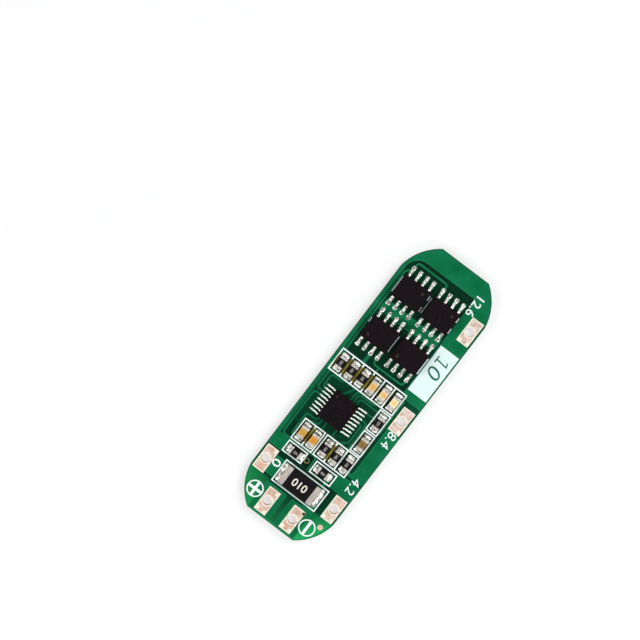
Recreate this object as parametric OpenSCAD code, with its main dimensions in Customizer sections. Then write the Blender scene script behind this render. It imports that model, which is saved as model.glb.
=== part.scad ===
// Battery management board for a three-cell lithium pack.
// A round-cornered glass-epoxy board with etched copper on both sides carries four
// power transistors, a protection IC, a current shunt and fifteen chip parts. Six
// plated terminals take the wires to the cells and to the load.
// Frame: origin at the centre of the underside, +X toward the output terminals,
// +Y toward the three cell terminals, +Z out of the component side. Millimetres.

/* [Board] */
// Length of the board
board_l = 50; // [49:0.5:60]
// Width of the board
board_w = 16; // [15.4:0.2:22]
// Thickness of the glass-epoxy laminate
laminate_t = 1; // [0.6:0.1:1.6]
// Thickness of a copper foil with the solder mask on it
foil_t = 0.05; // [0.04:0.01:0.1]
// Straight part of each end, between its two corner arcs
end_flat = 8.8; // [7:0.2:11]
// Length of a corner arc along the board
corner_run = 5.8; // [5:0.1:7]
// Radius of the corner arcs
corner_r = 8.5; // [7:0.1:12]
// Bare rim between the copper and the board's edge
rim = 0.2; // [0.1:0.05:0.3]

/* [Wire terminals] */
// Length of a terminal pad along the board
pad_l = 4.3; // [3.8:0.1:4.8]
// Width of a terminal pad across the board
pad_w = 2.1; // [1.9:0.05:2.3]
// Diameter of the wire hole
wire_d = 1.5; // [1:0.1:1.6]
// Wall of the copper barrel that lines the wire hole
barrel_t = 0.16; // [0.16:0.01:0.22]
// Gap between a terminal pad and the masked copper round it
mask_gap = 0.05; // [0.03:0.01:0.1]
// Distance from each end of the board to the outer cell terminals
cell_end = 7.7; // [7:0.1:8.5]
// Distance by which the whole row of cell terminals sits off centre
cell_shift = -0.1; // [-0.4:0.1:0.4]
// Distance from a cell pad to the long edge
cell_inset = 0.35; // [0.3:0.05:0.6]
// Distance from an output pad to the board's end
output_inset = 0.45; // [0.35:0.05:0.8]
// Distance between the centres of the two output terminals
output_pitch = 4.8; // [4.2:0.1:5.4]

/* [Solder] */
// Thickness of the solder under a lead or an end cap
solder_t = 0.05; // [0.03:0.01:0.1]
// Gap between a moulded body and the land that its leads stand on
solder_heel = 0.3; // [0.2:0.05:0.35]
// Share of a lead's thickness that the solder climbs
solder_climb = 0.6; // [0.4:0.05:0.8]

/* [Moulded packages] */
// Gap between a moulded body and the plane of its feet
standoff = 0.1; // [0.05:0.01:0.15]
// Draft angle of the moulded sides
draft = 7; // [4:1:10]
// Slope of the leads between shoulder and foot
lead_slope = 80; // [70:1:86]
// Length of a lead inside the moulded body
lead_root = 0.4; // [0.2:0.05:0.6]
// Depth of a pin-one dimple
dimple_t = 0.1; // [0.05:0.01:0.15]
// Straight shoulder of a lead before it bends down
shoulder = 0.1; // [0.06:0.01:0.15]

/* [Power transistors] */
// Leads on each side of a transistor
fet_pins = 4; // [3:1:4]
// Distance from one transistor lead to the next
fet_pitch = 1.27; // [1.2:0.01:1.3]
// Moulded body beyond the outer leads' centres
fet_margin = 0.545; // [0.45:0.005:0.6]
// Width of the moulded body between its lead rows
fet_w = 3.9; // [3.7:0.05:4]
// Height of the moulded body
fet_h = 1.4; // [1.2:0.05:1.6]
// Distance over the tips of the two lead rows
fet_span = 6; // [5.9:0.05:6.3]
// Width of a transistor lead
fet_lead_w = 0.42; // [0.36:0.01:0.5]
// Thickness of a transistor lead
fet_lead_t = 0.2; // [0.17:0.01:0.25]
// Inner radius of a transistor lead's bends
fet_bend = 0.1; // [0.06:0.01:0.12]
// Width of a transistor's solder land
fet_land_w = 0.72; // [0.6:0.02:0.8]
// Reach of the solder beyond a transistor lead's tip
fet_toe = 0.65; // [0.4:0.05:0.75]
// Gap between the lands of the two transistor columns
fet_gap_x = 0.52; // [0.4:0.02:0.8]
// Gap between the bodies of the two transistor rows
fet_gap_y = 0.7; // [0.5:0.05:0.9]
// Diameter of a transistor's pin-one dimple
fet_dimple_d = 0.6; // [0.4:0.05:0.8]
// Distance from the body's sides to the middle of the dimple
fet_dimple_in = 0.95; // [0.7:0.05:1.2]
// Distance from the board's end to the first transistor land
fet_end = 4.6; // [4:0.1:5]
// Place of the transistor block across the board
fet_mid_y = -1.375; // [-1.6:0.025:-1]

/* [Protection IC] */
// Leads on each side of the IC
ic_pins = 8; // [6:1:8]
// Distance from one IC lead to the next
ic_pitch = 0.65; // [0.6:0.01:0.68]
// Moulded body beyond the outer leads' centres
ic_margin = 0.225; // [0.2:0.005:0.3]
// Width of the IC's body between its lead rows
ic_w = 4.4; // [4.2:0.05:4.5]
// Height of the IC's body
ic_h = 0.9; // [0.8:0.05:1.1]
// Distance over the tips of the two lead rows
ic_span = 6.4; // [6.3:0.05:6.6]
// Width of an IC lead
ic_lead_w = 0.22; // [0.18:0.01:0.3]
// Thickness of an IC lead
ic_lead_t = 0.12; // [0.1:0.01:0.15]
// Inner radius of an IC lead's bends
ic_bend = 0.06; // [0.04:0.01:0.08]
// Width of an IC solder land
ic_land_w = 0.34; // [0.28:0.02:0.4]
// Reach of the solder beyond an IC lead's tip
ic_toe = 0.6; // [0.4:0.05:0.7]
// Diameter of the IC's pin-one dimple
ic_dimple_d = 0.5; // [0.3:0.05:0.6]
// Distance from the IC's sides to the middle of the dimple
ic_dimple_in = 0.75; // [0.5:0.05:0.9]
// Distance of the IC from the middle of the chip block
ic_shift = 0.15; // [-0.2:0.05:0.3]
// Place of the IC across the board
ic_y = -2.15; // [-2.3:0.05:-2]

/* [Chip parts] */
// Length of a chip resistor or capacitor
chip_l = 2; // [1.8:0.05:2.1]
// Width of a chip resistor or capacitor
chip_w = 1.25; // [1.1:0.05:1.35]
// Height of a chip resistor
resistor_h = 0.5; // [0.4:0.05:0.65]
// Height of a chip capacitor
capacitor_h = 0.85; // [0.6:0.05:1.25]
// Length of a chip's end cap
chip_cap_l = 0.4; // [0.25:0.05:0.5]
// Thickness of the metal of an end cap
cap_t = 0.04; // [0.02:0.01:0.06]
// Thickness of the black coat on a resistor
coat_t = 0.03; // [0.02:0.01:0.05]
// Reach of the solder beyond a chip's end
chip_toe = 0.6; // [0.4:0.05:0.7]
// Share of a chip's height that the solder climbs
chip_climb = 0.75; // [0.4:0.05:0.9]
// Gap between the lands of neighbouring chips along the board
chip_gap_x = 0.85; // [0.7:0.05:0.9]
// Gap between neighbouring chips across the board
chip_gap_y = 0.79; // [0.6:0.01:0.8]
// Share of the board's free length between the transistors and the first chip column
chip_share = 0.33; // [0.25:0.01:0.4]
// Place of the top chip row across the board
chip_y = 3.95; // [3.8:0.05:4.1]
// Extra gap above the two capacitors of the last column
column_break = 0.25; // [0.15:0.05:0.3]
// Share of the free length between the last chip column and the upright resistors
side_share = 0.19; // [0.15:0.01:0.25]
// Place of the upper upright resistor across the board
side_upper_y = 1.85; // [1.6:0.05:2]
// Place of the lower upright resistor across the board
side_lower_y = -3.45; // [-3.6:0.05:-3.3]

/* [Current shunt] */
// Length of the shunt
shunt_l = 6.35; // [6:0.05:6.6]
// Width of the shunt
shunt_w = 3.2; // [2.9:0.05:3.3]
// Height of the shunt
shunt_h = 0.6; // [0.5:0.05:0.8]
// Length of the shunt's end caps
shunt_cap_l = 0.95; // [0.6:0.05:1.2]
// Reach of the solder beyond the shunt's ends
shunt_toe = 0.7; // [0.4:0.05:0.8]
// Share of the board's free length between the upright resistors and the shunt
shunt_share = 0.25; // [0.2:0.01:0.3]
// Place of the shunt across the board
shunt_y = 0.12; // [-0.1:0.02:0.3]

/* [Copper] */
// Width of a signal trace
trace_w = 0.25; // [0.2:0.05:0.3]
// Ease of a signal trace's corners
trace_bend = 0.5; // [0.3:0.1:0.8]
// Bare gap between neighbouring copper areas
moat = 0.5; // [0.3:0.05:0.6]
// Bare gap between a track and the rail beside it
track_gap = 0.2; // [0.15:0.05:0.3]
// Distance from a row of solder lands to the track that runs beside it
lane = 0.7; // [0.5:0.05:0.75]
// Distance between the tracks that run under the IC
fan_pitch = 0.55; // [0.45:0.05:0.6]
// Bare gap between the upper transistors and the rail above them
rail_clear = 0.27; // [0.2:0.01:0.4]
// Radius of the rail's inside corner below the transistors
rail_fillet = 2.4; // [1:0.1:2.6]
// Width of the pack rail along the transistor end
rail_w = 3.15; // [2.6:0.05:3.3]
// Width of the pack rail along the lower long edge
rail_edge_w = 0.7; // [0.5:0.05:0.8]
// Width of the copper between the transistor columns
drain_w = 2; // [1.6:0.1:2.4]
// Bare gap between the copper sheets on the underside
sheet_gap = 0.8; // [0.4:0.05:0.9]
// Copper left round a cell terminal's pad on the underside
pad_border = 0.4; // [0.3:0.05:0.5]
// Copper beyond an output pad, across the board
output_border = 0.9; // [0.6:0.05:1]
// Place of the underside's dividing line from the transistor end
split_end = 12.15; // [11.5:0.05:13]
// Diameter of the through-via's ring
via_ring_d = 0.9; // [0.7:0.05:1]
// Diameter of the through-via's hole
via_d = 0.4; // [0.3:0.05:0.5]
// Wall of the copper that lines the through-via
plating_t = 0.05; // [0.03:0.01:0.1]
// Gap between the through-via's ring and the upright resistor's land
via_gap = 0.1; // [0.06:0.02:0.2]
// Diameter of the round test point
test_d = 0.9; // [0.7:0.05:1]
// Gap between the bottom cell terminal's pad and the test point
test_gap = 0.95; // [0.6:0.05:1.1]

/* [Hidden] */
$fn = 48;
BEND_STEPS = 3;           // flats in one bend of a lead or a track
MENISCUS_STEPS = 4;       // flats in one hollow solder fillet
EASE_SHARE = 0.45;        // most of a straight leg that a track's eased corner may take
OVERCUT = 1;              // how far a hole's cutter passes the board's faces

// Heights of the stack
top_z = laminate_t + 2 * foil_t;     // component side of the board
seat_z = top_z + solder_t;           // plane that feet and end caps stand on

// Corner arc: through the ends of the two straight sides, centred inboard of them
arc_start = [board_l / 2 - corner_run, board_w / 2];
arc_end = [board_l / 2, end_flat / 2];
chord = arc_end - arc_start;
arc_centre = (arc_start + arc_end) / 2
    + [chord.y, -chord.x] / norm(chord) * sqrt(pow(corner_r, 2) - pow(norm(chord) / 2, 2));

// Wire terminals: the three cell taps, the pack's zero and the two outputs
cell_y = board_w / 2 - cell_inset - pad_w / 2;
output_x = board_l / 2 - output_inset - pad_l / 2;
top_cell_at = [-board_l / 2 + cell_end + cell_shift, cell_y];
middle_cell_at = [cell_shift, cell_y];
bottom_cell_at = [board_l / 2 - cell_end + cell_shift, cell_y];
zero_at = [bottom_cell_at.x, -cell_y];
minus_at = [output_x, output_pitch / 2];
plus_at = [output_x, -output_pitch / 2];
terminal_sites = [top_cell_at, middle_cell_at, bottom_cell_at, zero_at, minus_at, plus_at];

// Transistors: two columns from the board's end, two rows about fet_mid_y. The
// columns face each other, so the second one is turned half round.
fet_l = (fet_pins - 1) * fet_pitch + 2 * fet_margin;
fet_land_x = fet_span / 2 + fet_toe;
fet_x = [for (i = [0, 1])
    -board_l / 2 + fet_end + fet_land_x + i * (2 * fet_land_x + fet_gap_x)];
fet_y = [for (side = [1, -1]) fet_mid_y + side * (fet_l + fet_gap_y) / 2];
fet_sites = [for (i = [0, 1], j = [0, 1]) [fet_x[i], fet_y[j], 180 * i]];
function fet_pin_y(row, pin) = fet_y[row] + ((fet_pins - 1) / 2 - pin) * fet_pitch;

// Chip parts: columns along X and rows down Y, plus two upright ones by the shunt
chip_land_l = chip_l + 2 * chip_toe;
chip_block_l = 4 * chip_land_l + 3 * chip_gap_x;
fet_block_l = 4 * fet_land_x + fet_gap_x;
free_l = board_l - fet_end - fet_block_l - chip_block_l - chip_w - shunt_w - pad_l - output_inset;
chip_start = -board_l / 2 + fet_end + fet_block_l + chip_share * free_l;
function column(i) = chip_start + chip_land_l / 2 + i * (chip_land_l + chip_gap_x);
function row(j) = chip_y - j * (chip_w + chip_gap_y);
function land_edge(i, side) = column(i) + side * chip_land_l / 2;
function on_land(i, side) = land_edge(i, side) - side * chip_toe / 2;
side_x = chip_start + chip_block_l + side_share * free_l + chip_w / 2;
last_row_y = [row(3) - column_break, row(4) - column_break];
capacitor_sites = [
    [column(0), row(0), 0], [column(0), row(1), 0], [column(0), row(2), 0],
    [column(2), row(0), 0], [column(3), last_row_y[0], 0], [column(3), last_row_y[1], 0]];
resistor_sites = [
    [column(0), row(3), 0], [column(0), row(4), 0], [column(0), row(5), 0],
    [column(1), row(0), 0], [column(3), row(0), 0], [column(3), row(1), 0],
    [column(3), row(2), 0], [side_x, side_upper_y, 90], [side_x, side_lower_y, 90]];

shunt_x = side_x + chip_w / 2 + shunt_share * free_l + shunt_w / 2;
ic_x = (column(0) + column(3)) / 2 + ic_shift;
ic_l = (ic_pins - 1) * ic_pitch + 2 * ic_margin;
function ic_pin_x(pin) = ic_x + (pin - (ic_pins - 1) / 2) * ic_pitch;
via_at = [side_x, side_lower_y + chip_land_l / 2 + via_gap + via_ring_d / 2];
test_at = [bottom_cell_at.x + pad_l / 2 + test_gap + test_d / 2, cell_y];

// Copper shared by several areas
side_half = chip_w / 2 + moat;
rail_low_y = -board_w / 2 + rail_edge_w;
output_inner_x = output_x - pad_l / 2 - output_inset;
output_half = pad_w / 2 + output_border;

// ---------------------------------------------------------------- board

// Board's outline, drawn in from its edge by inset
module board_outline(inset = 0) {
    difference() {
        square([board_l - 2 * inset, board_w - 2 * inset], center = true);
        for (sx = [0, 1], sy = [0, 1])
            mirror([sx, 0])
                mirror([0, sy])
                    translate(arc_centre)
                        difference() {
                            square([board_l, board_w]);
                            circle(r = corner_r - inset);
                        }
    }
}

// Glass-epoxy core, drilled for the six wire barrels and the through-via
module laminate() {
    color("seagreen")
        translate([0, 0, foil_t])
            difference() {
                linear_extrude(laminate_t) board_outline();
                for (at = terminal_sites)
                    translate([at.x, at.y, -OVERCUT])
                        cylinder(h = laminate_t + 2 * OVERCUT, d = wire_d + 2 * barrel_t);
                translate([via_at.x, via_at.y, -OVERCUT])
                    cylinder(h = laminate_t + 2 * OVERCUT, d = via_d + 2 * plating_t);
            }
}

// Plated terminal: a pad on each side joined by the barrel that lines the hole
module terminal(at) {
    color("lightpink")
        translate(at)
            difference() {
                union() {
                    for (z = [0, top_z - foil_t])
                        translate([0, 0, z])
                            linear_extrude(foil_t) square([pad_l, pad_w], center = true);
                    cylinder(h = top_z, d = wire_d + 2 * barrel_t);
                }
                translate([0, 0, -OVERCUT]) cylinder(h = top_z + 2 * OVERCUT, d = wire_d);
            }
}

// Through-via beside the upright resistors: ring, barrel, ring
module through_via() {
    color("peru")
        translate(via_at)
            difference() {
                union() {
                    for (z = [0, top_z - foil_t])
                        translate([0, 0, z]) cylinder(h = foil_t, d = via_ring_d);
                    cylinder(h = top_z, d = via_d + 2 * plating_t);
                }
                translate([0, 0, -OVERCUT]) cylinder(h = top_z + 2 * OVERCUT, d = via_d);
            }
}

// Round bare pad for a test probe
module test_point() {
    color("lightpink")
        translate([test_at.x, test_at.y, top_z - foil_t]) cylinder(h = foil_t, d = test_d);
}

// ---------------------------------------------------------------- copper

// Rectangle given by two opposite corners
module area(a, b) {
    translate([min(a.x, b.x), min(a.y, b.y)]) square([abs(b.x - a.x), abs(b.y - a.y)]);
}

// The same with its four corners rounded
module round_area(a, b, r) {
    area(a + [r, 0], b - [r, 0]);
    area(a + [0, r], b - [0, r]);
    for (x = [a.x + r, b.x - r], y = [a.y + r, b.y - r])
        translate([x, y]) circle(r = r);
}

// Hollow fillet of radius r in an inside corner; quadrant is where the bare side lies
module inside_fillet(at, r, quadrant) {
    translate(at)
        mirror([quadrant.x < 0 ? 1 : 0, 0])
            mirror([0, quadrant.y < 0 ? 1 : 0])
                difference() {
                    square(r);
                    translate([r, r]) circle(r = r);
                }
}

// Path through a list of points with each corner eased into a curve of about radius r
function eased(points, r) = [for (i = [0 : len(points) - 1])
    let (p = points[i])
    each (i == 0 || i == len(points) - 1) ? [p] :
        let (
            back = points[i - 1] - p,
            ahead = points[i + 1] - p,
            a = p + unit(back) * min(r, EASE_SHARE * norm(back)),
            b = p + unit(ahead) * min(r, EASE_SHARE * norm(ahead)))
        [for (k = [0 : BEND_STEPS])
            let (t = k / BEND_STEPS) pow(1 - t, 2) * a + 2 * t * (1 - t) * p + t * t * b]];

function unit(v) = v / norm(v);

// Sideways step from point i of a path to the edge of a ribbon one unit wide each way
function side_step(path, i) = let (
        into = unit(path[max(i, 1)] - path[max(i, 1) - 1]),
        out = i < len(path) - 1 ? unit(path[i + 1] - path[i]) : into,
        middle = unit(into + out))
    [-middle.y, middle.x] / (middle * into);

// Copper track of width w along a list of points
module trace(points, w = trace_w) {
    path = eased(points, trace_bend);
    last = len(path) - 1;
    polygon(concat(
        [for (i = [0 : last]) path[i] + w / 2 * side_step(path, i)],
        [for (i = [last : -1 : 0]) path[i] - w / 2 * side_step(path, i)]));
}

// Openings in a foil for the plated terminal pads and the via's ring
module foil_windows() {
    for (at = terminal_sites)
        translate(at) square([pad_l + 2 * mask_gap, pad_w + 2 * mask_gap], center = true);
    translate(via_at) circle(d = via_ring_d + 2 * mask_gap);
}

// Solder lands of one gull-wing package
module lead_lands(pins, pitch, w, span, land_w, toe) {
    inner = w / 2 + solder_heel;
    for (side = [0, 1], pin = [0 : pins - 1])
        mirror([side, 0])
            translate([inner, (pin - (pins - 1) / 2) * pitch - land_w / 2])
                square([span / 2 + toe - inner, land_w]);
}

// Two solder lands of one chip part
module chip_lands(l, w, cap_l, toe) {
    for (side = [0, 1])
        mirror([side, 0])
            translate([l / 2 - cap_l, -w / 2]) square([cap_l + toe, w]);
}

// Every solder land of the component side
module lands() {
    for (site = fet_sites)
        translate([site.x, site.y])
            lead_lands(fet_pins, fet_pitch, fet_w, fet_span, fet_land_w, fet_toe);
    translate([ic_x, ic_y])
        rotate(90) lead_lands(ic_pins, ic_pitch, ic_w, ic_span, ic_land_w, ic_toe);
    for (site = concat(capacitor_sites, resistor_sites))
        translate([site.x, site.y])
            rotate(site.z) chip_lands(chip_l, chip_w, chip_cap_l, chip_toe);
    translate([shunt_x, shunt_y])
        rotate(90) chip_lands(shunt_l, shunt_w, shunt_cap_l, shunt_toe);
}

// Pack rail: round the transistor end and along both long edges
module pack_rail() {
    inner_x = -board_l / 2 + rail_w;
    upper_y = fet_y[0] + fet_l / 2 + rail_clear;
    stop_x = middle_cell_at.x - pad_l / 2 - moat - 2 * track_gap;
    area([-board_l / 2, -board_w / 2], [inner_x, board_w / 2]);
    area([-board_l / 2, upper_y], [stop_x, board_w / 2]);
    area([-board_l / 2, -board_w / 2], [side_x + side_half, rail_low_y]);
    area([side_x - side_half, -board_w / 2],
         [side_x + side_half, side_lower_y - chip_land_l / 2 - track_gap]);
    inside_fillet([inner_x, rail_low_y], rail_fillet, [1, 1]);
}

// Common drain copper between the two transistor columns
module drain_strip() {
    mid_x = (fet_x[0] + fet_x[1]) / 2;
    area([mid_x - drain_w / 2, fet_y[1] - fet_l / 2], [mid_x + drain_w / 2, fet_y[0] + fet_l / 2]);
}

// Copper of the two lower cell taps, along the upper edge
module cell_taps() {
    low_y = cell_y - pad_w / 2;
    middle_end = on_land(3, 1);
    area([middle_cell_at.x - pad_l / 2, low_y], [middle_end, board_w / 2]);
    area([middle_end - 2 * trace_w, row(0)], [middle_end, board_w / 2]);
    inside_fillet([middle_end - 2 * trace_w, low_y], trace_bend, [-1, -1]);
    area([middle_end + moat, side_upper_y + chip_land_l / 2 + track_gap],
         [side_x + side_half, board_w / 2]);
    area([side_x, low_y], [bottom_cell_at.x + pad_l / 2 + track_gap, board_w / 2]);
}

// Copper of the two outputs, of the shunt's ends and of the zero terminal
module output_pours() {
    for (at = [minus_at, plus_at])
        round_area([output_inner_x, at.y - output_half], [board_l / 2 - rim, at.y + output_half], trace_w);
    area([shunt_x, shunt_y + shunt_l / 2 - shunt_cap_l], [output_x, minus_at.y + output_half]);
    area([shunt_x - shunt_w / 2, zero_at.y], [shunt_x + shunt_w / 2, shunt_y - shunt_l / 2]);
}

// Signal tracks, each from one solder joint to the next
module signal_traces() {
    first_in = fet_x[0] - fet_span / 2;
    last_in = fet_x[1] + fet_span / 2;
    loop_x = fet_x[0] - fet_land_x - lane;
    source_x = fet_x[1] + fet_land_x + lane;
    left_lane = land_edge(0, 1) + lane;
    right_lane = ic_x + ic_l / 2 + lane;
    side_lane = side_x - side_half - track_gap;
    ic_left = ic_x - ic_l / 2 + trace_w;
    ic_right = ic_x + ic_l / 2 - trace_w;
    ic_top = ic_y + ic_span / 2;
    ic_low = ic_y - ic_span / 2;
    bus_y = rail_low_y + track_gap + trace_w / 2;
    chips_low = row(0) - chip_w / 2 - lane;
    function fan(k) = ic_y + ic_w / 2 - k * fan_pitch;

    // gate loops beside the transistor columns, and their links to the first chips
    trace([[first_in, fet_pin_y(0, fet_pins - 1)], [loop_x, fet_pin_y(0, fet_pins - 1)],
           [loop_x, fet_pin_y(1, fet_pins - 1)], [first_in, fet_pin_y(1, fet_pins - 1)]]);
    trace([[last_in, fet_pin_y(0, 0)], [source_x, fet_pin_y(0, 0)],
           [source_x, fet_pin_y(1, 0)], [last_in, fet_pin_y(1, 0)]]);
    trace([[source_x, (row(2) + row(3)) / 2], [on_land(0, -1), (row(2) + row(3)) / 2],
           [on_land(0, -1), row(3)]]);
    trace([[last_in, fet_pin_y(1, 1)], [on_land(0, -1), fet_pin_y(1, 1)]], 2 * trace_w);

    // from the first chip column and the row above to the IC's left side
    trace([[on_land(1, -1), row(0)], [on_land(1, -1), fan(1)], [ic_left, fan(1)]]);
    trace([[on_land(0, 1), row(1)], [left_lane, row(1)], [left_lane, fan(2)], [ic_left, fan(2)]]);
    trace([[on_land(0, 1), row(2)], [left_lane, fan(3)], [ic_left, fan(3)]]);
    trace([[on_land(0, 1), row(3)], [left_lane, row(3)], [ic_left, fan(6)]]);
    trace([[on_land(0, 1), row(4)], [left_lane, row(4)], [left_lane, ic_low - ic_toe - lane / 2],
           [ic_pin_x(1), ic_low - ic_toe - lane / 2], [ic_pin_x(1), ic_low]]);

    // along the upper row to the IC's upper pins
    trace([[ic_pin_x(0), ic_top], [ic_pin_x(0), row(0)], [on_land(1, 1), row(0)]]);
    trace([[ic_pin_x(2), ic_top], [ic_pin_x(2), chips_low], [on_land(3, -1), chips_low],
           [on_land(3, -1), row(1)]]);
    trace([[ic_pin_x(3), ic_top], [ic_pin_x(3), chips_low - 2 * trace_w],
           [on_land(2, 1), chips_low - 2 * trace_w], [on_land(3, -1), row(2)]]);

    // from the IC's right side to the last chip column
    trace([[ic_right, fan(1)], [on_land(3, -1), fan(1)]]);
    trace([[ic_right, last_row_y[0]], [on_land(3, -1), last_row_y[0]]]);
    trace([[ic_right, fan(6)], [right_lane + 2 * trace_w, fan(6)],
           [right_lane + 2 * trace_w, last_row_y[1]], [on_land(3, -1), last_row_y[1]]]);
    trace([[ic_right, fan(7)], [right_lane, fan(7)], [right_lane, last_row_y[1] - chip_w / 2 - lane],
           [on_land(3, 1), last_row_y[1] - chip_w / 2 - lane], [on_land(3, 1), last_row_y[1]]]);

    // the two long tracks of the lower edge
    trace([[first_in, fet_pin_y(1, fet_pins - 1)], [first_in + lane, bus_y], [ic_pin_x(2), bus_y],
           [ic_pin_x(2), ic_low]]);
    trace([[ic_pin_x(3), ic_low], [ic_pin_x(3), bus_y], [side_lane, bus_y],
           [side_lane, via_at.y + via_ring_d], [side_x + side_half, via_at.y + via_ring_d]]);

    // short links of the middle cell tap, the via and the upper upright resistor
    trace([[middle_cell_at.x - pad_l / 2 - lane, row(0) + chip_w / 2 + moat],
           [on_land(1, 1), row(0) + chip_w / 2 + moat]]);
    trace([via_at, [side_x, side_lower_y + chip_l / 2]], 2 * trace_w);
    trace([[side_x, side_upper_y + chip_l / 2 + trace_w], [shunt_x, side_upper_y + chip_l / 2 + trace_w]],
          2 * trace_w);
}

// Masked copper of the component side
module top_foil() {
    color("mediumseagreen")
        translate([0, 0, top_z - foil_t])
            linear_extrude(foil_t)
                difference() {
                    intersection() {
                        board_outline(rim);
                        union() {
                            pack_rail();
                            drain_strip();
                            cell_taps();
                            output_pours();
                            signal_traces();
                            lands();
                        }
                    }
                    foil_windows();
                }
}

// Masked copper of the underside: broad sheets parted by bare channels
module bottom_foil() {
    split_x = -board_l / 2 + split_end;
    pad_low = cell_y - pad_w / 2;
    channel = sheet_gap + pad_border;
    minus_x = side_x - chip_w / 2;
    wide_end_x = minus_x - sheet_gap;
    plus_high = minus_at.y - output_half - sheet_gap;
    plus_low = plus_at.y - output_half;
    tap_end_x = bottom_cell_at.x + pad_l / 2 + pad_border;
    zero_x = zero_at.x - pad_l / 2 - pad_border;
    color("mediumseagreen")
        linear_extrude(foil_t)
            difference() {
                intersection() {
                    board_outline(rim);
                    union() {
                        // pack sheet at the transistor end
                        area([-board_l / 2, -board_w / 2], [split_x - moat / 2, board_w / 2]);
                        // wide sheet, with its arms to the bottom cell tap and the plus output
                        area([split_x + moat / 2, -board_w / 2], [wide_end_x, board_w / 2]);
                        area([split_x + moat / 2, pad_low - pad_border], [tap_end_x, board_w / 2]);
                        area([split_x + moat / 2, -board_w / 2], [zero_x - sheet_gap, plus_high]);
                        area([split_x + moat / 2, plus_low], [board_l / 2, plus_high]);
                        inside_fillet([wide_end_x, plus_high], trace_bend, [1, 1]);
                        inside_fillet([zero_x - sheet_gap, plus_low], trace_bend, [1, -1]);
                        // sheets of the minus output and of the zero terminal
                        round_area([minus_x, minus_at.y - output_half],
                                   [board_l / 2 - rim, minus_at.y + output_half], trace_w);
                        area([zero_x, -board_w / 2], [tap_end_x, -pad_low + pad_border]);
                    }
                }
                // bare channel round the middle cell terminal
                round_area([middle_cell_at.x - pad_l / 2 - channel, pad_low - channel],
                           [middle_cell_at.x + pad_l / 2 + channel, board_w], trace_bend);
                foil_windows();
            }
}

// ---------------------------------------------------------------- moulded packages

// Points of an arc about c, from angle a0 to a1
function arc(c, r, a0, a1) = [for (i = [0 : BEND_STEPS])
    let (a = a0 + (a1 - a0) * i / BEND_STEPS) c + r * [cos(a), sin(a)]];

// Fall of a lead from its shoulder to its foot, and the run that its slope takes
function lead_drop(h, t) = standoff + h / 2 - t / 2;
function lead_run(drop, t, bend) = let (
        mid_r = bend + t / 2,
        leg = (drop - 2 * mid_r * (1 - cos(lead_slope))) / sin(lead_slope))
    leg * cos(lead_slope) + 2 * mid_r * sin(lead_slope);

// Side outline of a gull-wing lead: x outward from the package's middle, y up
function gull_points(w, h, span, t, bend) = let (
        drop = lead_drop(h, t),
        root = w / 2 - lead_root,
        shoulder_c = [w / 2 + shoulder, drop + t / 2 - (bend + t / 2)],
        ankle_c = [w / 2 + shoulder + lead_run(drop, t, bend), bend + t])
    concat(
        [[root, drop + t]],
        arc(shoulder_c, bend + t, 90, 90 - lead_slope),
        arc(ankle_c, bend, 270 - lead_slope, 270),
        [[span / 2, t], [span / 2, 0]],
        arc(ankle_c, bend + t, 270, 270 - lead_slope),
        arc(shoulder_c, bend, 90 - lead_slope, 90),
        [[root, drop]]);

// Two rows of gull-wing leads, standing on z = 0
module leads(pins, pitch, lead_w, points) {
    for (side = [0, 1], pin = [0 : pins - 1])
        mirror([side, 0, 0])
            translate([0, (pin - (pins - 1) / 2) * pitch, 0])
                rotate([90, 0, 0])
                    linear_extrude(lead_w, center = true) polygon(points);
}

// Cross-section of a moulded body, widest at the parting line where the leads leave
module draft_profile(w, h) {
    lean = h / 2 * tan(draft);
    polygon([[-w / 2 + lean, 0], [w / 2 - lean, 0], [w / 2, h / 2],
             [w / 2 - lean, h], [-w / 2 + lean, h], [-w / 2, h / 2]]);
}

// Moulded body with a pin-one dimple; l runs along the lead rows
module moulded_body(l, w, h, dimple_d, dimple_in) {
    translate([0, 0, standoff])
        difference() {
            intersection() {
                rotate([90, 0, 0]) linear_extrude(l, center = true) draft_profile(w, h);
                rotate([90, 0, 90]) linear_extrude(w, center = true) draft_profile(l, h);
            }
            translate([-w / 2 + dimple_in, l / 2 - dimple_in, h - dimple_t])
                cylinder(h = dimple_t + OVERCUT, d = dimple_d);
        }
}

// Solder on one row pair: wets the land, climbs the foot and tapers past the toe
module lead_joints(pins, pitch, w, span, land_w, toe, t) {
    inner = w / 2 + solder_heel;
    climb = solder_t + solder_climb * t;
    points = concat(
        [[inner, 0], [inner, solder_t], [inner + climb - solder_t, climb], [span / 2, climb]],
        meniscus(span / 2, toe, solder_t / 2, climb),
        [[span / 2 + toe, 0]]);
    for (side = [0, 1], pin = [0 : pins - 1])
        mirror([side, 0, 0])
            translate([0, (pin - (pins - 1) / 2) * pitch, 0])
                rotate([90, 0, 0])
                    linear_extrude(land_w, center = true) polygon(points);
}

// Hollow solder fillet: from height high at x0 down to height low at x0 + run
function meniscus(x0, run, low, high) = [for (i = [1 : MENISCUS_STEPS])
    let (a = 90 * i / MENISCUS_STEPS)
    [x0 + run * (1 - cos(a)), low + (high - low) * (1 - sin(a))]];

fet_lead_points = gull_points(fet_w, fet_h, fet_span, fet_lead_t, fet_bend);
ic_lead_points = gull_points(ic_w, ic_h, ic_span, ic_lead_t, ic_bend);

// Puts a part that stands on z = 0 at its site on the solder
module at_site(site, z = seat_z) {
    translate([site.x, site.y, z]) rotate(site.z) children();
}

module transistor_leads(i) {
    color("silver") at_site(fet_sites[i - 1]) leads(fet_pins, fet_pitch, fet_lead_w, fet_lead_points);
}

module transistor_body(i) {
    color("#28242a")
        at_site(fet_sites[i - 1])
            difference() {
                moulded_body(fet_l, fet_w, fet_h, fet_dimple_d, fet_dimple_in);
                leads(fet_pins, fet_pitch, fet_lead_w, fet_lead_points);
            }
}

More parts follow.
